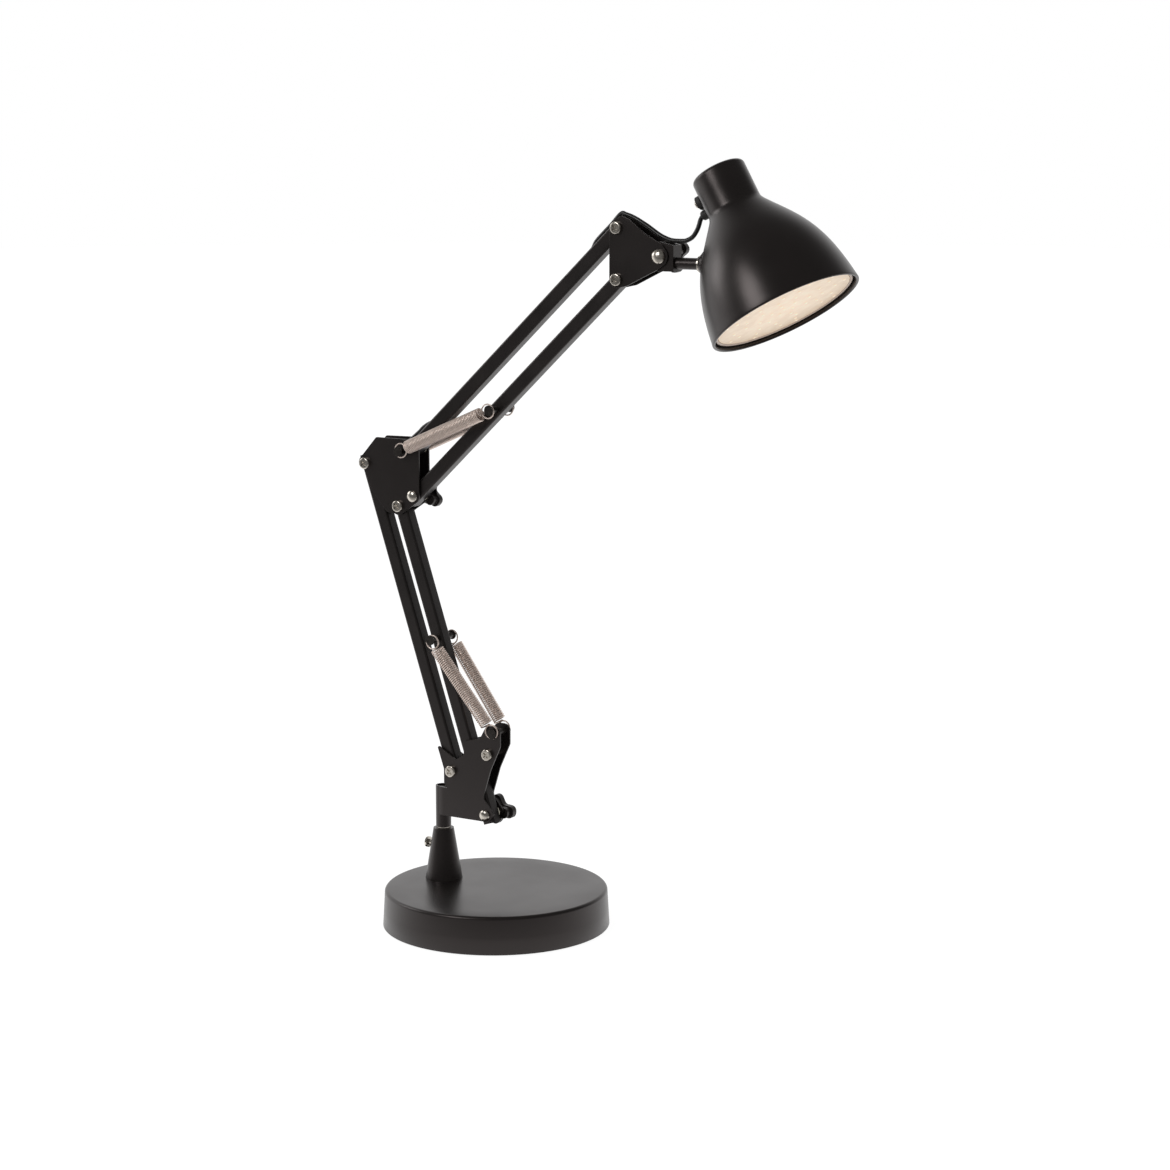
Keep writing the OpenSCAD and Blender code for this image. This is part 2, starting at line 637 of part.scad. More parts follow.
// Clevis: a strap bent round the tilt bolt, with the stem in its web
module clevis() {
    arm = clevis_web_x - T[0];
    color(BLACK) difference() {
        union() {
            for (side = [-1, 1]) {
                a = side * clevis_out;
                b = side * (clevis_out - clevis_t);
                sheet_y(min(a, b), max(a, b)) polygon(concat(arc(T, clevis_r, 90, 270, 12),
                    [[clevis_web_x, T[1] - clevis_r], [clevis_web_x, T[1] + clevis_web_up]]));
            }
            translate([clevis_web_x - clevis_t, -clevis_out, T[1] - clevis_r])
                cube([clevis_t, 2 * clevis_out, clevis_r + clevis_web_up]);
        }
        rod_y(T, screw_d / 2 + fit, -20, 20);
        translate([T[0], 0, stem_z]) rotate([0, 90, 0]) cylinder(d = 6 + 2 * fit, h = arm + 1);
    }
}
module rod_x(x0, x1, r) {
    translate([x0, 0, stem_z]) rotate([0, 90, 0]) cylinder(r = r, h = x1 - x0);
}
// The stem's spigot goes through the clevis and is riveted over; its far end goes into the shade
stem_tip = stem_wall_x + 11;
module stem() {
    color(BLACK) union() {
        rod_x(clevis_web_x, stem_tip, stem_d / 2);
        rod_x(clevis_web_x - clevis_t, clevis_web_x, 3);
        rod_x(clevis_web_x - clevis_t - 1.2, clevis_web_x - clevis_t, 3.5);
    }
}
module stem_ring(x0, x1, r) {
    difference() {
        rod_x(x0, x1, r);
        rod_x(x0 - 1, x1 + 1, stem_d / 2 + fit);
    }
}
dish_t = 1.2;
module stem_washer() {
    color(NICKEL) stem_ring(stem_wall_x - 6.9, stem_wall_x - 5.8, 5.7);
}
// A dished washer whose rim rests on the shade's curved wall
module dished_washer() {
    color(BLACK) translate([stem_wall_x, 0, stem_z]) rotate([0, 90, 0]) rotate_extrude() polygon([
        [stem_d / 2 + fit, -5.7], [6.1, -5.7], [9.4, -2.4], [9.4, -0.3], [5.6, -4.2], [stem_d / 2 + fit, -4.5]]);
}
nut_flange_r = 7.5;
nut_seat = shade_t + nut_flange_r * nut_flange_r / 2 / (stem_reach - shade_t) + 0.1;
module stem_nut() {
    color(NICKEL) difference() {
        translate([stem_wall_x + nut_seat, 0, stem_z]) rotate([0, 90, 0]) union() {
            cylinder(r = nut_flange_r, h = 1.2);
            cylinder(d = 13 / cos(30), h = 5, $fn = 6);
        }
        rod_x(stem_wall_x, stem_tip + 1, stem_d / 2 + fit);
    }
}

// Shade and what it holds, in the shade's own frame
module in_shade() {
    translate([Q[0], 0, Q[1]]) rotate([shade_turn, 0, 0]) rotate([0, -shade_tilt, 0]) children();
}
neck_edge = 3;
lip_t = 2.2;
module shade() {
    steps = shade_steps;
    outer = [for (i = [1:steps - 1]) cubic(bell, i / steps)];
    inner = [for (i = [steps - 1:-1:1]) bell_inner(i / steps)];
    color(BLACK) difference() {
        in_shade() rotate_extrude($fn = 96) polygon(concat(
            [[0, neck_z]], arc([neck_r - neck_edge, neck_z - neck_edge], neck_edge, 90, 0, 5),
            [[neck_r, neck_z - neck_len]], outer,
            [[mouth_r, mouth_z + 1]], arc([mouth_r - lip_t / 2, mouth_z + 0.9], lip_t / 2, 0, -180, 6),
            [[mouth_r - lip_t, mouth_z + 2.4]], inner,
            [[neck_r - shade_t, neck_z - neck_len], [neck_r - shade_t, neck_z - neck_edge],
             [neck_r - neck_edge, neck_z - shade_t], [0, neck_z - shade_t]]));
        rod_x(stem_wall_x - 8, stem_wall_x + 16, stem_d / 2 + fit);
        grommet_space(grommet_r);
        clamp_axis(1.5 + fit, 6);
    }
}
// Height of the lead's clamp and its grommet on the neck's rear side
clamp_z = neck_z - 12;
grommet_z = neck_z - 20.8;
clamp_t = 3.4;
grommet_r = 2.7;
module grommet_space(r) {
    in_shade() translate([-neck_r - 2, 0, grommet_z]) rotate([0, 90, 0]) cylinder(r = r, h = 8);
}
module clamp_axis(r, reach) {
    in_shade() translate([-neck_r - reach, 0, clamp_z]) rotate([0, 90, 0]) cylinder(r = r, h = reach + 6);
}
module lead_grommet() {
    x = -neck_r;
    color(RUBBER) in_shade() translate([x, 0, grommet_z]) rotate([0, 90, 0]) rotate_extrude() polygon([
        [lead_d / 2 + fit, -4], [lead_d / 2 + fit + 0.5, -5.2], [2.8, -5.2], [3.3, -4.6], [3.7, -0.5],
        [grommet_r - fit, -0.5], [grommet_r - fit, 1.9], [3.4, 1.9], [3.4, 3], [lead_d / 2 + fit, 3]]);
}
module lead_clamp() {
    out = neck_r + 0.3;
    color(RUBBER) difference() {
        in_shade() translate([-out, 0, clamp_z]) rotate([0, -90, 0]) linear_extrude(clamp_t)
            polygon(rounded([[-4.8, -4.5, 3.9], [4.8, -4.5, 3.9], [4.8, 4.5, 3.9], [-4.8, 4.5, 3.9]]));
        clamp_axis(1.5 + fit, 9);
    }
}
module clamp_screw() {
    color(NICKEL) in_shade() translate([-neck_r, 0, clamp_z]) rotate([0, -90, 0]) difference() {
        union() {
            translate([0, 0, clamp_t + 0.3 + face_gap]) rotate_extrude() polygon([[0, 0], [3, 0], [3, 1.2], [2.2, 2.1], [0, 2.3]]);
            translate([0, 0, -4]) cylinder(r = 1.5, h = clamp_t + 4.4 + face_gap);
        }
        translate([0, 0, clamp_t + 2.7]) cube([3.4, 0.8, 1.4], center = true);
    }
}
diffuser_low = mouth_z + recess;
carrier_top = diffuser_low + 15.5;
module diffuser() {
    color(CREAM) in_shade() translate([0, 0, diffuser_low])
        cylinder(r = bell_r(diffuser_low) - shade_t - 1.8, h = diffuser_t, $fn = 96);
}
// Cast carrier of the LED board, with the cooling fins on its back
module led_heat_sink() {
    low = diffuser_low + diffuser_t;
    gap = shade_t + seat_gap + 0.6;
    r_low = bell_r(low) - gap;
    r_top = bell_r(carrier_top) - gap;
    fins = 9;
    pitch = 5;
    color(BRASS) in_shade() union() {
        rotate_extrude($fn = 96) polygon([
            [r_low, low], [r_low - 1.5, low], [r_top - 2, carrier_top - 1.5], [4, carrier_top - 1.5],
            [4, carrier_top], [r_top, carrier_top]]);
        for (i = [0:fins - 1]) let (x = (i - (fins - 1) / 2) * pitch, half = sqrt(25 * 25 - x * x))
            translate([x - 0.7, -half, carrier_top - 0.5]) cube([1.4, 2 * half, 8]);
    }
}
board_r = 40;
board_top = carrier_top - 1.5;
module led_board() {
    color("white") in_shade() translate([0, 0, board_top - 1.6]) difference() {
        cylinder(r = board_r, h = 1.6, $fn = 64);
        translate([0, 0, -1]) cylinder(r = 3, h = 4);
    }
}
// LED chips on three rings
module led_chips() {
    color(CREAM) in_shade() for (ring = [1:3]) let (n = 6 * ring, r = 12 * ring - 1)
        for (i = [0:n - 1]) rotate([0, 0, 360 * i / n + 10 * ring])
            translate([r - 1.5, -1.5, board_top - 2.3]) cube([3, 3, 0.7]);
}
// Lead: inside the top tube, over the head bracket, then in a free bow to the shade's neck
lead_high = bar_w / 2 + lead_d / 2 + face_gap;
// A point of the lower rear or the upper top tube, at a distance along it and off its axis
function off_lower(s, h) = along(along(P1, lower_angle, s), lower_angle + 90, h);
function off_upper(s, h) = along(along(B2, upper_angle, s), upper_angle + 90, h);
// From inside the lower rear tube, out through its slot, between the elbow's plates and over the
// end of the upper top tube
module elbow_lead() {
    points = concat([for (p = [[24, 0], [90, 0], [lower_len - 50, 0], [lower_len - 38, 0],
            [lower_len - 29, -2.8], [lower_len - 21, -7.5]]) off_lower(p[0], p[1])],
        [for (p = [[-21, -22], [-17.5, -14], [-14.4, -6], [-10.8, 0.6], [-5.4, 5.2]]) B2 + p],
        [off_upper(4, lead_high + 0.4), off_upper(9.9, lead_high)]);
    color(RUBBER) swept([for (p = points) [p[0], 0, p[1]]], lead_d / 2, 8);
}
module arm_lead() {
    rise = [[0, 3.2], [5, lead_high - 1.2], [10.5, lead_high]];
    sink = [[-10.5, 0], [-5, 1]];
    points = concat([[10, lead_high]], [for (i = [2:-1:0]) [lead_in - rise[i][0], rise[i][1]]],
        [for (i = [1:-1:0]) [lead_in - sink[i][0], sink[i][1]]], [[120, 0]],
        [for (p = sink) [lead_out + p[0], p[1]]], [for (p = rise) [lead_out + p[0], p[1]]],
        [[upper_len - 4, lead_high]]);
    color(RUBBER) swept([for (p = points) let (q = off_upper(p[0], p[1])) [q[0], 0, q[1]]], lead_d / 2, 8);
}
lead_sag = T + [11, 10.4];
module bracket_lead() {
    points = concat([off_upper(upper_len - 3.9, lead_high)],
        [for (p = [[-33.6, 27.8], [-29.5, 27.4], [-22.5, 25], [-12.5, 19.8], [-3, 14], [4, 11.2], [8, 10.5]]) T + p], [lead_sag - [0.1, 0]]);
    color(RUBBER) swept(curve([for (p = points) [p[0], 0, p[1]]], 2), lead_d / 2, 8);
}
// The bow ends square to the neck, inside the grommet
module shade_lead() {
    s = shade_turn;
    function seat(x, z) = let (a = -shade_tilt, u = x * cos(a) + z * sin(a), w = -x * sin(a) + z * cos(a))
        [Q[0] + u, -w * sin(s), Q[1] + w * cos(s)];
    bow = [for (p = [[17.2, 10.8], [21.6, 13.1], [24.6, 17.2], [26.1, 20.9]]) T + p];
    ends = [for (p = [[-8.2, -1.5], [-6.4, -0.3], [-5.3, 0], [-4, 0], [1, 0], [6, 0]])
        seat(p[0] - neck_r, p[1] + grommet_z)];
    points = concat([[lead_sag[0], 0, lead_sag[1]], [lead_sag[0] + 3, 0, lead_sag[1]]],
        [for (i = [0:3]) [bow[i][0], ends[0][1] * (i + 1) / 5, bow[i][1]]], ends);
    color(RUBBER) swept(curve(points, 2), lead_d / 2, 8);
}

// Knobs with three lobes on the clamping pivots. The lobes are shorter beside the plate, where they
// pass the nuts, and the threaded hole is blind
knob_foot = plate_out + 0.5;
function lobes(angle, reach, half) = rounded([for (k = [0:2]) let (
        a = angle + 120 * k, u = [cos(a), sin(a)], v = [-sin(a), cos(a)],
        m = [cos(a - 60), sin(a - 60)] * (half / sin(60)), p = reach * u - half * v, q = reach * u + half * v)
    each [[m[0], m[1], 3], [p[0], p[1], half - 0.7], [q[0], q[1], half - 0.7]]]);
module wing_knob(p, angle) {
    reach = knob_span / 2;
    color(BLACK) difference() {
        translate([p[0], 0, p[1]]) union() {
            sheet_y(knob_foot, knob_foot + 4.8) polygon(lobes(angle, reach * 0.84, 3.9));
            sheet_y(knob_foot + 4.8, knob_foot + 9.6) polygon(lobes(angle, reach, 4.6));
        }
        rod_y(p, screw_d / 2 + fit, 0, plate_out + 8.4);
    }
}
module lower_knob() {
    wing_knob(P2, -5);
}
module elbow_knob() {
    wing_knob(B1, -40);
}
module head_knob() {
    wing_knob(T, 38);
}

base_cover();
base_weight();
base_pad();
cone_socket();
socket_bolt();
set_screw();
lower_bracket();
pan_pin();
lower_screws();
lower_pivot_bolt();
lower_nuts();
lower_washers();
bracket_spring_stud();
lower_front_bar();
lower_front_bushes();
lower_arm_stud();
lower_spring_front();
lower_spring_rear();
lower_rear_bar();
lower_rear_bushes();
elbow_front_plate();
elbow_rear_plate();
elbow_screws();
elbow_pivot_bolt();
elbow_nuts();
elbow_washers();
elbow_spring_pin();
upper_bottom_bar();
upper_bottom_bushes();
upper_arm_stud();
upper_spring_front();
upper_spring_rear();
upper_top_bar();
upper_top_bushes();
elbow_lead();
arm_lead();
head_front_plate();
head_rear_plate();
head_screws();
head_nuts();
head_washers();
tilt_bolt();
bracket_lead();
clevis();
stem();
stem_washer();
dished_washer();
stem_nut();
shade();
led_heat_sink();
led_board();
led_chips();
diffuser();
lead_grommet();
lead_clamp();
clamp_screw();
shade_lead();
lower_knob();
elbow_knob();
head_knob();
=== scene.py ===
import json
import math

import bpy
from mathutils import Matrix, Vector

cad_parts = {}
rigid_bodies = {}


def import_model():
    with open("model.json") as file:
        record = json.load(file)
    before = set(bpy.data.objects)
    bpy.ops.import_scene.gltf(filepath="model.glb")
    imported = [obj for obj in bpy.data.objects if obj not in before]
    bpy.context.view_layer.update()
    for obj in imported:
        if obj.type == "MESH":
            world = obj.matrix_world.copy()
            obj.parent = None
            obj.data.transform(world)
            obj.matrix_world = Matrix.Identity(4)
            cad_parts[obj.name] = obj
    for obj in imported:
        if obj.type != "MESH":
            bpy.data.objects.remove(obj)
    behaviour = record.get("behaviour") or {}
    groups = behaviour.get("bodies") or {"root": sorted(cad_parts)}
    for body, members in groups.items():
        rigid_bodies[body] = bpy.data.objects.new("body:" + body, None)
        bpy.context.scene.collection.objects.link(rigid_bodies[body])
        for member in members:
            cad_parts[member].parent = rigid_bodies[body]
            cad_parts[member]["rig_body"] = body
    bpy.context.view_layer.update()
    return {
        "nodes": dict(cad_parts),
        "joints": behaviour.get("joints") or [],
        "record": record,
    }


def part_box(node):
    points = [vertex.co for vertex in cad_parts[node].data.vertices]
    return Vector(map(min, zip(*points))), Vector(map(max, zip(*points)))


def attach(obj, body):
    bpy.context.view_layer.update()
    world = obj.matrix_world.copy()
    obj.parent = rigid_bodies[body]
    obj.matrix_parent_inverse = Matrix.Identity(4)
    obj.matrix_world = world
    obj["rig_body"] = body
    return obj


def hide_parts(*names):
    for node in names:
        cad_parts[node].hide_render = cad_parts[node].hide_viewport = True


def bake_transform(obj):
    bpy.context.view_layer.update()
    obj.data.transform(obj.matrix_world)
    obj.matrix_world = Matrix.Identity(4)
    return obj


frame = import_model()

MM = 0.001

# Pivots of the arms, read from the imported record's joints
JOINTS = {j["name"]: Vector(j["pos_m"]) for j in frame["joints"]}
P1 = JOINTS["lower_arm"]
P2 = JOINTS["lower_front_pivot"]
A1 = JOINTS["elbow_level"]
B2 = JOINTS["upper_arm"]
B1 = JOINTS["upper_bottom_pivot"]
H1 = JOINTS["head_level"]
TILT = JOINTS["head_tilt"]
WALL = JOINTS["shade_swivel"]


def middle(node):
    low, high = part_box(node)
    return (low + high) / 2


# Camera: an 85 mm lens at the photograph's height and angle
CAMERA_PLACE = (1.0734, -1.6279, 0.579)
CAMERA_AZIMUTH = 31.5
CAMERA_DOWN = 9.57


def make_camera():
    data = bpy.data.cameras.new("camera")
    data.lens = 85
    data.sensor_width = 36
    camera = bpy.data.objects.new("camera", data)
    camera.location = CAMERA_PLACE
    camera.rotation_euler = (math.radians(90 - CAMERA_DOWN), 0, math.radians(CAMERA_AZIMUTH))
    bpy.context.scene.collection.objects.link(camera)
    bpy.context.scene.camera = camera


make_camera()


# Materials
def linear(code):
    """The linear colour of an sRGB hex code."""
    parts = [int(code[i:i + 2], 16) / 255 for i in (1, 3, 5)]
    return [c / 12.92 if c <= 0.04045 else ((c + 0.055) / 1.055) ** 2.4 for c in parts] + [1]


def add(tree, kind, links=(), values=(), **settings):
    """Adds a node with its settings, its sockets' values and the links into it."""
    node = tree.nodes.new("ShaderNode" + kind)
    for name, value in settings.items():
        setattr(node, name, value)
    for name, value in dict(values).items():
        node.inputs[name].default_value = value
    for name, source in dict(links).items():
        tree.links.new(source, node.inputs[name])
    return node


def new_material(name, values):
    material = bpy.data.materials.new(name)
    material.use_nodes = True
    tree = material.node_tree
    tree.nodes.clear()
    shader = add(tree, "BsdfPrincipled", values=values)
    add(tree, "OutputMaterial", {"Surface": shader.outputs["BSDF"]})
    where = add(tree, "TexCoord").outputs["Object"]
    return material, tree, shader, where


def grain(tree, where, size, detail=3.0):
    """A noise whose cells are about size metres across."""
    return add(tree, "TexNoise", {"Vector": where}, {"Scale": 1 / size, "Detail": detail})


def spread(tree, factor, low, high):
    """A number that follows a pattern between low and high."""
    return add(tree, "MapRange", {"Value": factor},
               {"From Min": 0.3, "From Max": 0.7, "To Min": low, "To Max": high})


def tint(tree, factor, low, high):
    """A colour that follows a pattern between two hex codes."""
    ramp = add(tree, "ValToRGB", {"Fac": factor})
    ramp.color_ramp.elements[0].position = 0.3
    ramp.color_ramp.elements[0].color = linear(low)
    ramp.color_ramp.elements[1].position = 0.7
    ramp.color_ramp.elements[1].color = linear(high)
    return ramp


def coloured(tree, shader, factor, low, high, socket="Base Color"):
    tree.links.new(tint(tree, factor, low, high).outputs["Color"], shader.inputs[socket])


def roughened(tree, shader, factor, low, high):
    tree.links.new(spread(tree, factor, low, high).outputs["Result"], shader.inputs["Roughness"])


def bumped(tree, shader, height, distance, strength=1.0):
    bump = add(tree, "Bump", {"Height": height}, {"Strength": strength, "Distance": distance})
    tree.links.new(bump.outputs["Normal"], shader.inputs["Normal"])


# Painted warm light: the reflections of the black coats and the knobs are tinted warm, standing in for the
# studio light's warm cast
WARM_LIGHT_IN_GLOSS = (1.0, 0.89, 0.87, 1.0)


def satin_powder_coat():
    # Polyester powder coat on steel: warm black, satin, with a fine orange peel from the baking
    material, tree, shader, where = new_material(
        "satin_powder_coat", {"IOR": 1.5, "Specular IOR Level": 0.56, "Specular Tint": WARM_LIGHT_IN_GLOSS})
    peel = grain(tree, where, 1.6 * MM, 2.0)
    cloud = grain(tree, where, 38 * MM)
    coloured(tree, shader, cloud.outputs["Fac"], "#0e0c0b", "#13100f")
    roughened(tree, shader, cloud.outputs["Fac"], 0.29, 0.34)
    bumped(tree, shader, peel.outputs["Fac"], 0.012 * MM, 0.6)
    return material


def painted_tube():
    # The same coat on drawn square tube, a little rougher
    material, tree, shader, where = new_material(
        "painted_tube", {"IOR": 1.5, "Specular IOR Level": 0.5, "Specular Tint": WARM_LIGHT_IN_GLOSS})
    cloud = grain(tree, where, 22 * MM)
    coloured(tree, shader, cloud.outputs["Fac"], "#0e0d0c", "#131110")
    roughened(tree, shader, cloud.outputs["Fac"], 0.3, 0.36)
    peel = grain(tree, where, 1.2 * MM, 2.0)
    bumped(tree, shader, peel.outputs["Fac"], 0.01 * MM, 0.6)
    return material


def nickel_plate():
    # Bright nickel over turned steel: warm, nearly a mirror, dulled in patches by handling
    material, tree, shader, where = new_material("nickel_plate", {"Metallic": 1.0})
    cloud = grain(tree, where, 3 * MM)
    coloured(tree, shader, cloud.outputs["Fac"], "#c9c2b8", "#dcd5cb")
    roughened(tree, shader, cloud.outputs["Fac"], 0.16, 0.26)
    fine = grain(tree, where, 0.5 * MM, 2.0)
    bumped(tree, shader, fine.outputs["Fac"], 0.004 * MM, 0.5)
    return material


def spring_wire():
    # Nickel-plated music wire, slightly dulled: pale with a pinkish grey cast between the coils
    material, tree, shader, where = new_material("spring_wire", {"Metallic": 0.8})
    cloud = grain(tree, where, 2.5 * MM)
    coloured(tree, shader, cloud.outputs["Fac"], "#d9c8be", "#ecddd3")
    roughened(tree, shader, cloud.outputs["Fac"], 0.34, 0.44)
    return material


def black_oxide():
    # Blackened steel of the spring studs: dark, with a soft metal sheen
    material, tree, shader, where = new_material("black_oxide", {"Metallic": 0.6})
    cloud = grain(tree, where, 2 * MM)
    coloured(tree, shader, cloud.outputs["Fac"], "#24211f", "#35312e")
    roughened(tree, shader, cloud.outputs["Fac"], 0.26, 0.36)
    return material


def moulded_abs():
    # Injection-moulded black ABS of the knobs: semi-gloss, with a fine spark-eroded grain
    material, tree, shader, where = new_material(
        "moulded_abs", {"IOR": 1.53, "Specular IOR Level": 0.45, "Specular Tint": WARM_LIGHT_IN_GLOSS})
    cloud = grain(tree, where, 9 * MM)
    coloured(tree, shader, cloud.outputs["Fac"], "#0e0d0c", "#131110")
    roughened(tree, shader, cloud.outputs["Fac"], 0.3, 0.38)
    fine = grain(tree, where, 0.6 * MM, 2.0)
    bumped(tree, shader, fine.outputs["Fac"], 0.012 * MM, 0.5)
    return material


def pvc_sheath():
    # Extruded black PVC of the lead: smooth, faintly glossy, a touch of dust on top
    material, tree, shader, where = new_material(
        "pvc_sheath", {"IOR": 1.54, "Specular IOR Level": 0.5})
    cloud = grain(tree, where, 6 * MM)
    coloured(tree, shader, cloud.outputs["Fac"], "#0f0e0d", "#151312")
    roughened(tree, shader, cloud.outputs["Fac"], 0.3, 0.4)
    return material


def opal_diffuser():
    # Opal polycarbonate lit from behind: warm cream, deeper between the chips, and darker towards the rim
    # by painted shade where the shade's lip overhangs the recessed disc
    material, tree, shader, where = new_material(
        "opal_diffuser", {"IOR": 1.58, "Roughness": 0.35, "Emission Strength": 0.235})
    cloud = grain(tree, where, 7 * MM, 2.0)
    base = tint(tree, cloud.outputs["Fac"], "#d9c4ab", "#e6d3bb")
    # Painted shade: the base colour fades from the middle out to the rim, standing in for the shade that
    # the lip casts into the recess
    away = add(tree, "VectorMath", {0: where}, {1: middle("diffuser")}, operation="DISTANCE")
    rim = add(tree, "MapRange", {"Value": away.outputs["Value"]},
              {"From Min": 12 * MM, "From Max": 50 * MM, "To Min": 1.0, "To Max": 0.8})
    shaded = add(tree, "VectorMath", {"Vector": base.outputs["Color"], "Scale": rim.outputs["Result"]},
                 operation="SCALE")
    tree.links.new(shaded.outputs["Vector"], shader.inputs["Base Color"])
    coloured(tree, shader, cloud.outputs["Fac"], "#fbdcba", "#ffe8ca", "Emission Color")
    return material


def lit_chip():
    # The bright spot that each LED chip makes in the opal sheet
    material, tree, shader, where = new_material(
        "lit_chip", {"Base Color": linear("#f3e3cb"), "Roughness": 0.4, "Emission Strength": 0.3})
    cloud = grain(tree, where, 3 * MM)
    coloured(tree, shader, cloud.outputs["Fac"], "#fff0d8", "#fff8ea", "Emission Color")
    return material


def plain_finish(name, low, high, size, rough_low, rough_high, metallic=0.0, peel=0.0):
    material, tree, shader, where = new_material(name, {"Metallic": metallic})
    cloud = grain(tree, where, size)
    coloured(tree, shader, cloud.outputs["Fac"], low, high)
    roughened(tree, shader, cloud.outputs["Fac"], rough_low, rough_high)
    if peel:
        bumped(tree, shader, cloud.outputs["Fac"], peel, 0.8)
    return material


COAT = satin_powder_coat()
TUBE = painted_tube()
NICKEL = nickel_plate()
WIRE = spring_wire()
OXIDE = black_oxide()
ABS = moulded_abs()
PVC = pvc_sheath()
OPAL = opal_diffuser()
LIT = lit_chip()
# Clear-grey moulded rim of the opal disc
RIM = plain_finish("moulded_rim", "#b7a497", "#c8b6a8", 6 * MM, 0.3, 0.4)
# Natural nylon bushes, milky and slightly waxy
NYLON = plain_finish("natural_nylon", "#cfcabb", "#dedacb", 4 * MM, 0.4, 0.5)
# Nitrile rubber of the grommet and the clamp
RUBBER = plain_finish("nitrile_rubber", "#161412", "#1f1c1a", 3 * MM, 0.45, 0.6, 0.0, 0.02 * MM)
# Grey iron of the weight, as it comes from the sand
IRON = plain_finish("grey_iron", "#3a3938", "#4a4846", 1.5 * MM, 0.6, 0.8, 0.7, 0.2 * MM)
# Pressed felt of the pad
FELT = plain_finish("pressed_felt", "#111111", "#232221", 0.7 * MM, 0.9, 1.0, 0.0, 0.3 * MM)
# Aluminium die casting of the LED carrier
CASTING = plain_finish("aluminium_casting", "#9b9a98", "#b4b3b0", 2 * MM, 0.4, 0.55, 1.0, 0.03 * MM)
# White solder mask over the LED board
SOLDER_MASK = plain_finish("white_solder_mask", "#e4e4de", "#efefea", 5 * MM, 0.3, 0.4)


def dress(obj, material):
    obj.data.materials.clear()
    obj.data.materials.append(material)


SLOT_FINISH = {
    "black_paint": COAT, "cast_weight": IRON, "felt": FELT, "nickel": NICKEL, "spring_wire": WIRE,
    "nylon": NYLON, "black_plastic": ABS, "lead_sheath": PVC, "black_rubber": RUBBER,
    "die_cast": CASTING, "board": SOLDER_MASK, "chips": LIT, "diffuser": OPAL, "black_oxide": OXIDE,
}
for part in frame["record"]["subparts"]:
    dress(frame["nodes"][part["node"]], SLOT_FINISH[part["material_slot"]])
for name in ("lower_front_bar", "lower_rear_bar", "upper_bottom_bar", "upper_top_bar"):
    dress(frame["nodes"][name], TUBE)


# Modelling
def deselect():
    if bpy.context.object and bpy.context.object.mode != "OBJECT":
        bpy.ops.object.mode_set(mode="OBJECT")
    bpy.ops.object.select_all(action="DESELECT")


def settle(obj, smooth_angle=30):
    """Applies the object's place to its mesh and shades it."""
    deselect()
    obj.select_set(True)
    bpy.context.view_layer.objects.active = obj
    bpy.ops.object.transform_apply(location=True, rotation=True, scale=True)
    bpy.ops.object.shade_smooth_by_angle(angle=math.radians(smooth_angle))
    return obj


def weigh_normals(obj):
    """Lets broad faces set the shading, so that flat sheet stays flat beside its rounded edges."""
    weights = obj.modifiers.new("normals", "WEIGHTED_NORMAL")
    weights.keep_sharp = True
    weights.weight = 80
    apply_modifiers(obj)


def apply_modifiers(obj):
    bpy.context.view_layer.objects.active = obj
    for modifier in list(obj.modifiers):
        bpy.ops.object.modifier_apply(modifier=modifier.name)


def softened(node, width=0.0, segments=2, angle=32, smooth_angle=40):
    """A copy of a CAD node with smooth curves, its long edges rounded as tumbling and paint leave
    them."""
    source = frame["nodes"][node]
    deselect()
    obj = bpy.data.objects.new("soft_" + node, source.data.copy())
    bpy.context.scene.collection.objects.link(obj)
    obj.select_set(True)
    bpy.context.view_layer.objects.active = obj
    bpy.ops.object.mode_set(mode="EDIT")
    bpy.ops.mesh.select_all(action="SELECT")
    bpy.ops.mesh.remove_doubles(threshold=0.002 * MM)
    bpy.ops.mesh.dissolve_limited(angle_limit=math.radians(0.8))
    bpy.ops.object.mode_set(mode="OBJECT")
    if width:
        bevel = obj.modifiers.new("edge", "BEVEL")
        bevel.width = width
        bevel.segments = segments
        bevel.limit_method = "ANGLE"
        bevel.angle_limit = math.radians(angle)
        apply_modifiers(obj)
    settle(obj, smooth_angle)
    weigh_normals(obj)
    dress(obj, source.data.materials[0])
    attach(obj, source["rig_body"])
    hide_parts(node)
    return obj


def lathe(name, outline, material, segments=128, smooth_angle=30, place=None):
    """Turns an outline of (radius, height) points: a circle is drawn up ring by ring."""
    deselect()
    radius, height = max(outline[0][0], 1e-5), outline[0][1]
    bpy.ops.mesh.primitive_circle_add(vertices=segments, radius=radius, location=(0, 0, height))
    obj = bpy.context.object
    obj.name = name
    bpy.ops.object.transform_apply(location=True, rotation=True, scale=True)
    bpy.ops.object.mode_set(mode="EDIT")
    bpy.ops.mesh.select_all(action="SELECT")
    for wide, high in outline[1:]:
        wide = max(wide, 1e-5)
        bpy.ops.mesh.extrude_edges_indiv()
        bpy.ops.transform.resize(value=(wide / radius, wide / radius, 1), center_override=(0, 0, height))
        bpy.ops.transform.translate(value=(0, 0, high - height))
        radius, height = wide, high
    bpy.ops.mesh.select_all(action="SELECT")
    bpy.ops.mesh.remove_doubles(threshold=0.003 * MM)
    bpy.ops.mesh.normals_make_consistent(inside=False)
    bpy.ops.object.mode_set(mode="OBJECT")
    if place is not None:
        obj.matrix_world = place
    settle(obj, smooth_angle)
    dress(obj, material)
    return obj


def rounded_corner(centre, radius, start, end, steps=6):
    return [(centre[0] + radius * math.cos(math.radians(start + (end - start) * i / steps)),
             centre[1] + radius * math.sin(math.radians(start + (end - start) * i / steps)))
            for i in range(steps + 1)]


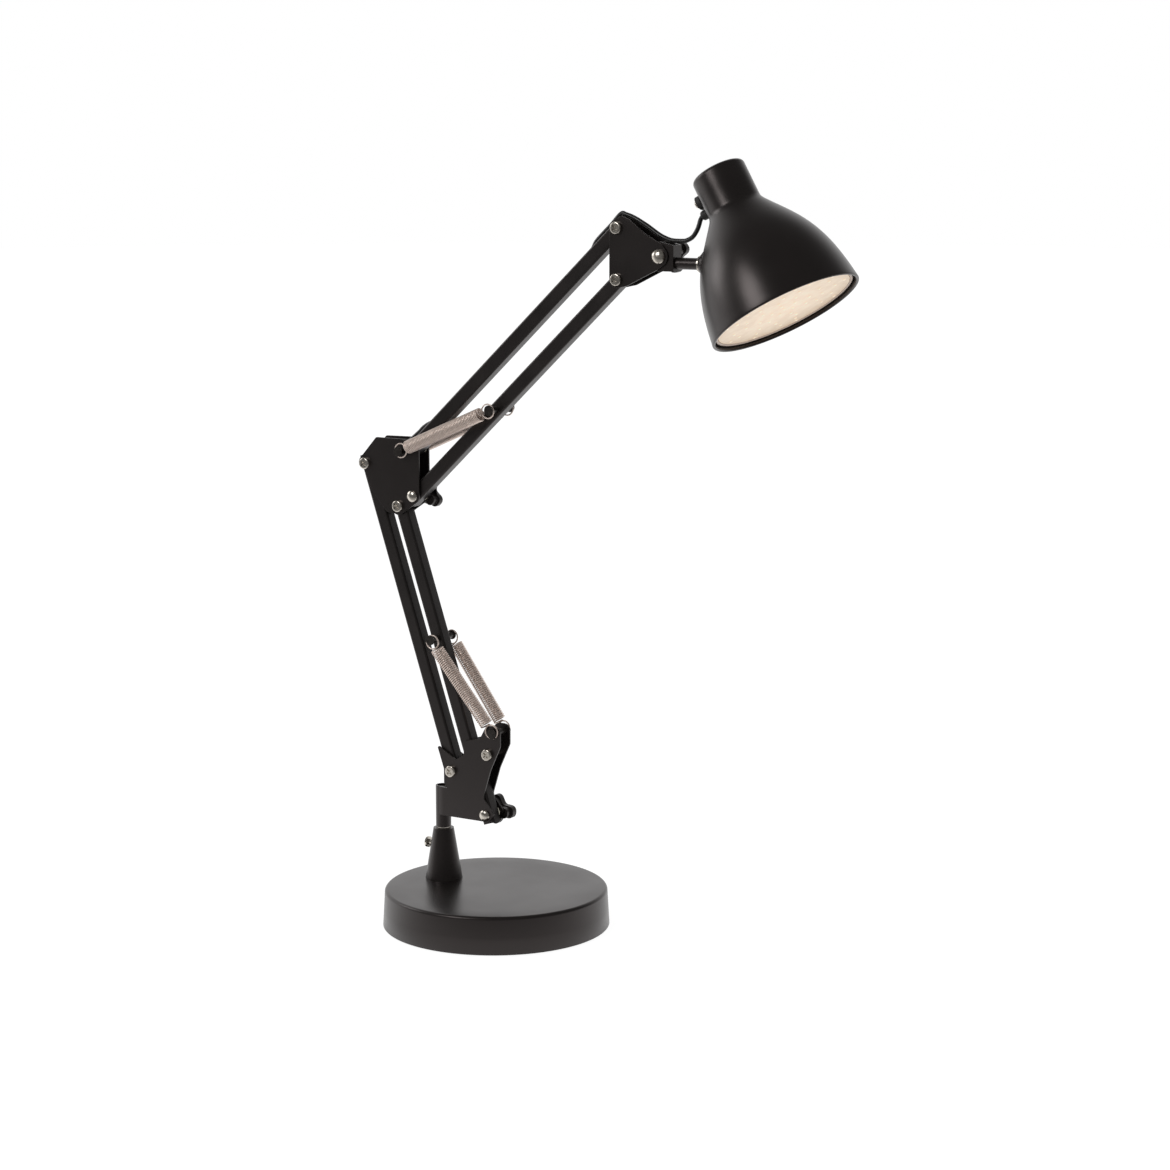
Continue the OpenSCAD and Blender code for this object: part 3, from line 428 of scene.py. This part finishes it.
def tube_along(name, points, radius, material, resolution=4):
    """A round wire or lead along points, as a mesh with closed ends."""
    deselect()
    curve = bpy.data.curves.new(name, "CURVE")
    curve.dimensions = "3D"
    curve.bevel_depth = radius
    curve.bevel_resolution = resolution
    curve.use_fill_caps = True
    curve.twist_mode = "MINIMUM"
    line = curve.splines.new("POLY")
    line.points.add(len(points) - 1)
    for target, point in zip(line.points, points):
        target.co = (*point, 1)
    obj = bpy.data.objects.new(name, curve)
    bpy.context.scene.collection.objects.link(obj)
    obj.select_set(True)
    bpy.context.view_layer.objects.active = obj
    bpy.ops.object.convert(target="MESH")
    obj = bpy.context.object
    bpy.ops.object.mode_set(mode="EDIT")
    bpy.ops.mesh.select_all(action="SELECT")
    bpy.ops.mesh.remove_doubles(threshold=0.0005 * MM)
    bpy.ops.mesh.normals_make_consistent(inside=False)
    bpy.ops.object.mode_set(mode="OBJECT")
    settle(obj, 80)
    dress(obj, material)
    return obj


def smooth_curve(points, steps):
    """Points on a smooth line through the given ones."""
    out = []
    for i in range(len(points) - 1):
        a, b = points[max(i - 1, 0)], points[i]
        c, d = points[i + 1], points[min(i + 2, len(points) - 1)]
        for j in range(steps):
            s = j / steps
            out.append(0.5 * (2 * b + (c - a) * s + (2 * a - 5 * b + 4 * c - d) * s * s
                              + (3 * b - a - 3 * c + d) * s ** 3))
    out.append(points[-1])
    return out


# Base: pressed steel cover and the cone that carries the post
BASE_R = 82.5 * MM
BASE_TOP = 28 * MM


def make_base():
    top_r = BASE_R - 1.4 * MM
    edge = 2.4 * MM
    sheet = 1.5 * MM
    outline = [(0, BASE_TOP - sheet), (top_r - edge, BASE_TOP - sheet), (top_r - sheet, BASE_TOP - edge),
               (BASE_R - sheet, 1.2 * MM), (BASE_R - sheet + 0.3 * MM, 0.8 * MM)]
    outline += [(BASE_R - 0.3 * MM, 0.8 * MM), (BASE_R, 1.1 * MM), (BASE_R - 0.7 * MM, 13 * MM)]
    outline += rounded_corner((top_r - edge, BASE_TOP - edge), edge, 0, 90, 8)
    outline += [(top_r * 0.8, BASE_TOP), (top_r * 0.4, BASE_TOP), (0, BASE_TOP)]
    cover = lathe("pressed_cover", outline, COAT, 160, 50)
    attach(cover, "base")
    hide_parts("base_cover")


make_base()

# Sheet metal, knobs, tubes and fasteners: CAD pieces with their edges rounded
SHEET_EDGE = 0.28 * MM
KNOB_EDGE = 0.6 * MM
STEEL_EDGE = 0.12 * MM
for name in ("elbow_front_plate", "elbow_rear_plate", "head_front_plate", "head_rear_plate",
             "lower_bracket", "clevis"):
    softened(name, SHEET_EDGE)
for name in ("lower_knob", "elbow_knob", "head_knob"):
    softened(name, KNOB_EDGE, 3)
for name in ("lower_front_bar", "lower_rear_bar", "upper_bottom_bar", "upper_top_bar", "cone_socket",
             "lower_screws", "elbow_screws", "head_screws", "tilt_bolt", "lower_pivot_bolt",
             "elbow_pivot_bolt", "set_screw", "bracket_spring_stud", "lower_arm_stud", "upper_arm_stud",
             "elbow_spring_pin", "stem", "stem_washer", "dished_washer", "lead_clamp", "clamp_screw",
             "lead_grommet"):
    softened(name, STEEL_EDGE if "screw" in name or "bolt" in name or "bar" in name else 0.0)

# Shade: spun steel bell with a straight neck
SHADE_LEN = 108.1 * MM
NECK_R = 18.7 * MM
MOUTH_R = 53.2 * MM
NECK_Z = SHADE_LEN * 0.669
MOUTH_Z = NECK_Z - SHADE_LEN
NECK_LEN = 29 * MM
SHEET = 1.2 * MM
SHADE_TILT = math.radians(31.2)
SHADE_TURN = math.radians(-3.8)
# Control points of the bell's profile, as (radius, height)
BELL = [(NECK_R, NECK_Z - NECK_LEN), (NECK_R + 15.5 * MM, NECK_Z - NECK_LEN - 22.3 * MM),
        (MOUTH_R - 5 * MM, MOUTH_Z + 47 * MM), (MOUTH_R, MOUTH_Z)]


def bell_point(t):
    weights = [(1 - t) ** 3, 3 * t * (1 - t) ** 2, 3 * t * t * (1 - t), t ** 3]
    return tuple(sum(w * p[i] for w, p in zip(weights, BELL)) for i in (0, 1))


def bell_inside(t):
    a, b = bell_point(t - 0.005), bell_point(t + 0.005)
    run = (b[0] - a[0], b[1] - a[1])
    size = math.hypot(*run)
    x, z = bell_point(t)
    return (x + SHEET * run[1] / size, z - SHEET * run[0] / size)


def bell_radius(height):
    low, high = 0.0, 1.0
    for _ in range(30):
        mid = (low + high) / 2
        if bell_point(mid)[1] > height:
            low = mid
        else:
            high = mid
    return bell_point(low)[0]


def shade_place():
    """The shade's own frame: its middle lies on the stem's axis, one wall's distance from the stem."""
    low, high = 10 * MM, 70 * MM
    for _ in range(40):
        mid = (low + high) / 2
        if bell_radius(mid * math.sin(SHADE_TILT)) > mid * math.cos(SHADE_TILT):
            low = mid
        else:
            high = mid
    centre = WALL + Vector((low, 0, 0))
    return (Matrix.Translation(centre) @ Matrix.Rotation(SHADE_TURN, 4, "X")
            @ Matrix.Rotation(-SHADE_TILT, 4, "Y"))


SHADE = shade_place()


def make_shade():
    edge = 3 * MM
    lip = 2.2 * MM
    outline = [(0, NECK_Z + 0.35 * MM), (NECK_R * 0.5, NECK_Z + 0.25 * MM)]
    outline += rounded_corner((NECK_R - edge, NECK_Z - edge), edge, 88, 0, 8)
    outline += [(NECK_R, NECK_Z - NECK_LEN * 0.5)]
    # A small spinning radius between the neck and the bell
    crease, end = (NECK_R, NECK_Z - NECK_LEN), bell_point(0.05)
    start = (NECK_R, crease[1] + 2.2 * MM)
    for i in range(7):
        k = i / 6
        outline.append(tuple((1 - k) ** 2 * a + 2 * k * (1 - k) * b + k * k * c
                             for a, b, c in zip(start, crease, end)))
    steps = 34
    outline += [bell_point(i / steps) for i in range(3, steps)]
    outline += [(MOUTH_R, MOUTH_Z + 1 * MM)]
    outline += rounded_corner((MOUTH_R - lip / 2, MOUTH_Z + 0.9 * MM), lip / 2, 0, -180, 10)
    outline += [(MOUTH_R - lip, MOUTH_Z + 2.4 * MM)]
    outline += [bell_inside(i / steps) for i in range(steps - 1, 0, -1)]
    outline += [(NECK_R - SHEET, NECK_Z - NECK_LEN), (NECK_R - SHEET, NECK_Z - edge),
                (NECK_R - edge, NECK_Z - SHEET), (0, NECK_Z - SHEET)]
    shade = lathe("spun_shade", outline, COAT, 160, 40, SHADE)
    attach(shade, "shade")
    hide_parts("shade")


make_shade()

# Diffuser: opal disc with a moulded rim and the chips' bright spots
DISC_Z = MOUTH_Z + 3.3 * MM
DISC_T = 2.5 * MM
# Rings of bright spots: how many, and their radius in mm
SPOT_RINGS = ((5, 9), (8, 18.5), (11, 28), (14, 37), (9, 44))


def make_diffuser():
    radius = bell_radius(DISC_Z) - SHEET - 1.8 * MM
    inside = radius - 2.2 * MM
    outline = [(0, DISC_Z), (inside * 0.5, DISC_Z), (inside, DISC_Z), (inside, DISC_Z + DISC_T),
               (0, DISC_Z + DISC_T)]
    disc = lathe("opal_disc", outline, OPAL, 128, 30, SHADE)
    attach(disc, "shade")
    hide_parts("diffuser")
    # The moulded rim that snaps the disc in stands a little proud behind a fine groove
    groove = inside + 0.35 * MM
    low, high = DISC_Z - 0.6 * MM, DISC_Z + DISC_T
    outline = [(groove, high), (groove, low + 0.3 * MM), (groove + 0.3 * MM, low), (radius - 0.3 * MM, low),
               (radius, low + 0.3 * MM), (radius, high), (groove, high)]
    rim = lathe("disc_rim", outline, RIM, 128, 50, SHADE)
    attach(rim, "shade")


def make_spots():
    deselect()
    bpy.ops.mesh.primitive_uv_sphere_add(segments=12, ring_count=6, radius=1.05 * MM)
    spot = bpy.context.object
    spot.name = "chip_spots"
    bpy.ops.object.mode_set(mode="EDIT")
    bpy.ops.mesh.select_all(action="SELECT")
    bpy.ops.mesh.bisect(plane_co=(0, 0, 0), plane_no=(0, 0, 1), clear_outer=True, use_fill=True)
    bpy.ops.mesh.select_all(action="SELECT")
    bpy.ops.transform.resize(value=(1, 1, 0.28))
    bpy.ops.object.mode_set(mode="OBJECT")
    places = [(0.0, 0.0)]
    for ring, (count, ring_r) in enumerate(SPOT_RINGS):
        for i in range(count):
            angle = math.radians(360 / count * i + 17 * ring + 5 * math.sin(2.4 * i + ring))
            places.append((ring_r * math.cos(angle), ring_r * math.sin(angle)))
    deselect()
    copies = []
    for x, y in places:
        copy = bpy.data.objects.new("chip_spot", spot.data.copy())
        bpy.context.scene.collection.objects.link(copy)
        copy.matrix_world = SHADE @ Matrix.Translation((x * MM, y * MM, DISC_Z + 0.02 * MM))
        copies.append(copy)
    bpy.data.objects.remove(spot)
    for copy in copies:
        copy.select_set(True)
    bpy.context.view_layer.objects.active = copies[0]
    bpy.ops.object.join()
    merged = bpy.context.object
    merged.name = "chip_spots"
    settle(merged, 60)
    dress(merged, LIT)
    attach(merged, "shade")


make_diffuser()
make_spots()

# Springs: close-wound wire with a full loop at each end
SPRING_Y = 12.6 * MM
BRACKET_SPRING_Y = 8.15 * MM
STUD_R = 2.5 * MM
WIRE_R = 0.55 * MM
SPRING_R = 5 * MM
LOWER_TURNS = 43
UPPER_TURNS = 52
STEPS_PER_TURN = 16


def make_spring(name, start, end, side, near_y, turns, node):
    """A tension spring from stud to stud, unbroken from one hook to the other. Its axis may spread
    from near_y at the start to the arm's spring distance at the end."""
    start = Vector((start.x, 0, start.z))
    end = Vector((end.x, 0, end.z))
    along = (end - start).normalized()
    across = Vector((-along.z, 0, along.x))
    side_way = Vector((0, 1, 0))
    length = (end - start).length
    coil_r = SPRING_R - WIRE_R
    loop_in = SPRING_R - WIRE_R - STUD_R - 0.1 * MM
    coil_start = loop_in + SPRING_R + 1.5 * MM
    hook = [(loop_in + SPRING_R * math.cos(math.radians(a)), SPRING_R * math.sin(math.radians(a)), 0.0)
            for a in range(-335, 31, 9)]
    # The wire widens from the hook to the coil: distance before the coil, radius and angle
    for before, radius, angle in ((1.0, 1.9 * MM, 118), (0.6, 3.0 * MM, 88), (0.3, 4.0 * MM, 55),
                                  (0.1, coil_r, 26)):
        hook.append((coil_start - before * MM, radius * math.cos(math.radians(angle)),
                     radius * math.sin(math.radians(angle))))
    rings = STEPS_PER_TURN * turns
    run = length - 2 * coil_start
    coil = [(coil_start + run * i / rings, coil_r * math.cos(math.tau * i / STEPS_PER_TURN),
             -coil_r * math.sin(math.tau * i / STEPS_PER_TURN)) for i in range(rings + 1)]
    back = [(length - x, u, -v) for x, u, v in reversed(hook)]
    points = [start + along * x + across * u
              + side_way * (side * (near_y + (SPRING_Y - near_y) * x / length) + v)
              for x, u, v in hook + coil + back]
    spring = tube_along(name, points, WIRE_R, WIRE, 1)
    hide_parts(node)
    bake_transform(spring)


LOWER_STUD = middle("bracket_spring_stud")
LOWER_ARM_STUD = middle("lower_arm_stud")
UPPER_ARM_STUD = middle("upper_arm_stud")
# The upper springs hang on a stud below and behind the upper arm's top pivot
ELBOW_HOOK = B2 + Vector((-7.5 * MM, 0, -2.3 * MM))
for side, word in ((-1, "front"), (1, "rear")):
    make_spring("lower_coil_" + word, LOWER_STUD, LOWER_ARM_STUD, side, BRACKET_SPRING_Y, LOWER_TURNS,
                "lower_spring_" + word)
    make_spring("upper_coil_" + word, ELBOW_HOOK, UPPER_ARM_STUD, side, SPRING_Y, UPPER_TURNS,
                "upper_spring_" + word)

# Lead: stretches that meet end to end, each of which crosses one joint at most
LEAD_R = 1.6 * MM
LOWER_DIR = (A1 - P1).normalized()
UPPER_DIR = (H1 - B2).normalized()
LOWER_SIDE = Vector((-LOWER_DIR.z, 0, LOWER_DIR.x))
UPPER_SIDE = Vector((-UPPER_DIR.z, 0, UPPER_DIR.x))
LEAD_HIGH = 5 * MM + LEAD_R + 0.1 * MM
LOWER_LEN = (A1 - P1).length
UPPER_LEN = (H1 - B2).length


def off_lower(s, h):
    return P1 + LOWER_DIR * s * MM + LOWER_SIDE * h * MM


def off_upper(s, h):
    return B2 + UPPER_DIR * s * MM + UPPER_SIDE * h * MM


def near(pivot, x, z):
    return pivot + Vector((x * MM, 0, z * MM))


def make_elbow_lead():
    high = LEAD_HIGH / MM
    lower = LOWER_LEN / MM
    inside = [off_lower(24, 0), off_lower(90, 0), off_lower(lower - 50, 0), off_lower(lower - 38, 0),
              off_lower(lower - 29, -2.8), off_lower(lower - 21, -7.5), near(B2, -21, -22),
              near(B2, -17.5, -14)]
    first = tube_along("lead_lower", smooth_curve(inside, 8), LEAD_R, PVC, 4)
    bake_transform(first)
    over = [near(B2, -17.5, -14), near(B2, -14.4, -6), near(B2, -10.8, 0.6), near(B2, -5.4, 5.2),
            off_upper(4, high + 0.4), off_upper(9.9, high)]
    second = tube_along("lead_elbow", smooth_curve(over, 10), LEAD_R, PVC, 4)
    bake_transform(second)
    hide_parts("elbow_lead")


def make_arm_lead():
    high = LEAD_HIGH / MM
    upper = UPPER_LEN / MM
    rise = ((0, 3.2), (5, high - 1.2), (10.5, high))
    sink = ((-10.5, 0), (-5, 1))
    lead_in, lead_out = 25, upper - 30
    arm = [off_upper(9.9, high)] + [off_upper(lead_in - s, h) for s, h in reversed(rise)]
    arm += [off_upper(lead_in - s, h) for s, h in reversed(sink)] + [off_upper(120, 0)]
    arm += [off_upper(lead_out + s, h) for s, h in sink] + [off_upper(lead_out + s, h) for s, h in rise]
    arm += [off_upper(upper - 4, high)]
    third = tube_along("lead_arm", smooth_curve(arm, 8), LEAD_R, PVC, 4)
    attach(third, "upper_top_arm")
    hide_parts("arm_lead")


# Lowest point of the free bow, straight above the clevis
SAG = near(TILT, 11, 10.4)


def make_bracket_lead():
    bracket = [off_upper(UPPER_LEN / MM - 4, LEAD_HIGH / MM)]
    bracket += [near(TILT, x, z) for x, z in ((-33.6, 27.8), (-29.5, 27.4), (-22.5, 25), (-12.5, 19.8))]
    fourth = tube_along("lead_bracket_start", smooth_curve(bracket, 8), LEAD_R, PVC, 4)
    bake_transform(fourth)
    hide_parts("bracket_lead")
    run = [near(TILT, x, z) for x, z in ((-12.5, 19.8), (-3, 14), (4, 11.2), (8, 10.5))] + [SAG]
    fifth = tube_along("lead_bracket_end", smooth_curve(run, 8), LEAD_R, PVC, 4)
    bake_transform(fifth)


def make_bow():
    grommet_z = NECK_Z / MM - 20.8
    neck = -NECK_R / MM

    def seat(x, z=0.0):
        return SHADE @ Vector(((neck + x) * MM, 0, (grommet_z + z) * MM))

    outer = seat(-8.2, -1.5)
    bow = []
    for i, (x, z) in enumerate(((17.2, 10.8), (21.6, 13.1), (24.6, 17.2), (26.1, 20.9))):
        point = near(TILT, x, z)
        point.y = outer.y * (i + 1) / 5
        bow.append(point)
    route = [SAG, near(TILT, 14, 10.4)] + bow
    route += [outer, seat(-6.4, -0.3), seat(-5.3), seat(-4), seat(1), seat(6)]
    last = tube_along("lead_bow", smooth_curve(route, 8), LEAD_R, PVC, 4)
    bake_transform(last)
    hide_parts("shade_lead")


make_elbow_lead()
make_arm_lead()
make_bracket_lead()
make_bow()

# Studio: a white sweep under and behind the lamp, a dim room on the camera's side, a soft lamp at
# the front left and a weak one at the left
BACK = Vector((-math.sin(math.radians(CAMERA_AZIMUTH)), math.cos(math.radians(CAMERA_AZIMUTH)), 0))
BACK_LEFT = Vector((-math.sin(math.radians(45)), math.cos(math.radians(45)), -0.5))


def seen_rays(tree):
    """1 on camera, glossy and transmission rays, 0 on the rest; and 1 on camera rays alone."""
    path = add(tree, "LightPath")
    camera = path.outputs["Is Camera Ray"]
    seen = add(tree, "Math", {0: camera, 1: path.outputs["Is Glossy Ray"]}, operation="MAXIMUM")
    also = add(tree, "Math", {0: seen.outputs[0], 1: path.outputs["Is Transmission Ray"]},
               operation="MAXIMUM")
    return also.outputs[0], camera


def studio_white():
    material = bpy.data.materials.new("studio_white")
    material.use_nodes = True
    tree = material.node_tree
    tree.nodes.clear()
    seen, camera = seen_rays(tree)
    # The sweep is white to the eye everywhere; what polished parts see of it dims in front of the lamp
    where = add(tree, "TexCoord").outputs["Object"]
    depth = add(tree, "VectorMath", {0: where}, {1: BACK}, operation="DOT_PRODUCT")
    fade = add(tree, "MapRange", {"Value": depth.outputs["Value"]},
               {"From Min": -0.3, "From Max": 0.0, "To Min": 0.15, "To Max": 1.0})
    shown = add(tree, "Math", {0: fade.outputs["Result"], 1: camera}, operation="MAXIMUM")
    strength = add(tree, "Math", {0: shown.outputs[0]}, {1: 0.9}, operation="MULTIPLY")
    paper = add(tree, "BsdfDiffuse", values={"Color": (0.18, 0.18, 0.18, 1)})
    light = add(tree, "Emission", {"Strength": strength.outputs[0]}, {"Color": (1, 1, 1, 1)})
    both = add(tree, "AddShader", {0: paper.outputs[0], 1: light.outputs[0]})
    plain = add(tree, "BsdfDiffuse", values={"Color": (0.8, 0.8, 0.8, 1)})
    mix = add(tree, "MixShader", {0: seen, 1: plain.outputs[0], 2: both.outputs[0]})
    add(tree, "OutputMaterial", {"Surface": mix.outputs[0]})
    return material


def make_world():
    world = bpy.context.scene.world or bpy.data.worlds.new("studio")
    bpy.context.scene.world = world
    world.use_nodes = True
    tree = world.node_tree
    tree.nodes.clear()
    seen, camera = seen_rays(tree)
    # White low down behind the lamp and to its left, dim behind the camera and overhead
    way = add(tree, "TexCoord").outputs["Generated"]
    facing = add(tree, "VectorMath", {0: way}, {1: BACK_LEFT}, operation="DOT_PRODUCT")
    room = add(tree, "MapRange", {"Value": facing.outputs["Value"]},
               {"From Min": -0.05, "From Max": 0.6, "To Min": 0.12, "To Max": 1.0})
    shown = add(tree, "Math", {0: room.outputs["Result"], 1: camera}, operation="MAXIMUM")
    level = add(tree, "MapRange", {"Value": seen, "To Max": shown.outputs[0]}, {"To Min": 0.85})
    background = add(tree, "Background", {"Strength": level.outputs["Result"]}, {"Color": (1, 1, 1, 1)})
    add(tree, "OutputWorld", {"Surface": background.outputs[0]})


FLOOR_R = 6
FLOOR_BACK = 5.2
AIM = Vector((0.08, 0, 0.33))
# Name, azimuth and elevation in degrees, distance and size in metres, power in watts
SOFTBOXES = (("front_softbox", -19, 30, 1.5, 0.56, 5.2), ("side_softbox", -75, 20, 1.6, 0.6, 3))


def make_studio():
    deselect()
    bpy.ops.mesh.primitive_circle_add(vertices=96, radius=FLOOR_R, fill_type="NGON",
                                      location=BACK * FLOOR_BACK)
    floor = bpy.context.object
    floor.name = "studio_floor"
    bpy.ops.object.transform_apply(location=True, rotation=True, scale=True)
    dress(floor, studio_white())
    make_world()
    for name, azimuth, elevation, distance, size, power in SOFTBOXES:
        a, e = math.radians(azimuth), math.radians(elevation)
        way = Vector((math.sin(a) * math.cos(e), -math.cos(a) * math.cos(e), math.sin(e)))
        data = bpy.data.lights.new(name, "AREA")
        data.shape = "RECTANGLE"
        data.size = size
        data.size_y = size
        data.energy = power
        lamp = bpy.data.objects.new(name, data)
        lamp.location = AIM + way * distance
        lamp.rotation_euler = way.to_track_quat("Z", "Y").to_euler()
        bpy.context.scene.collection.objects.link(lamp)


make_studio()
bpy.context.scene.view_settings.view_transform = "Standard"
deselect()
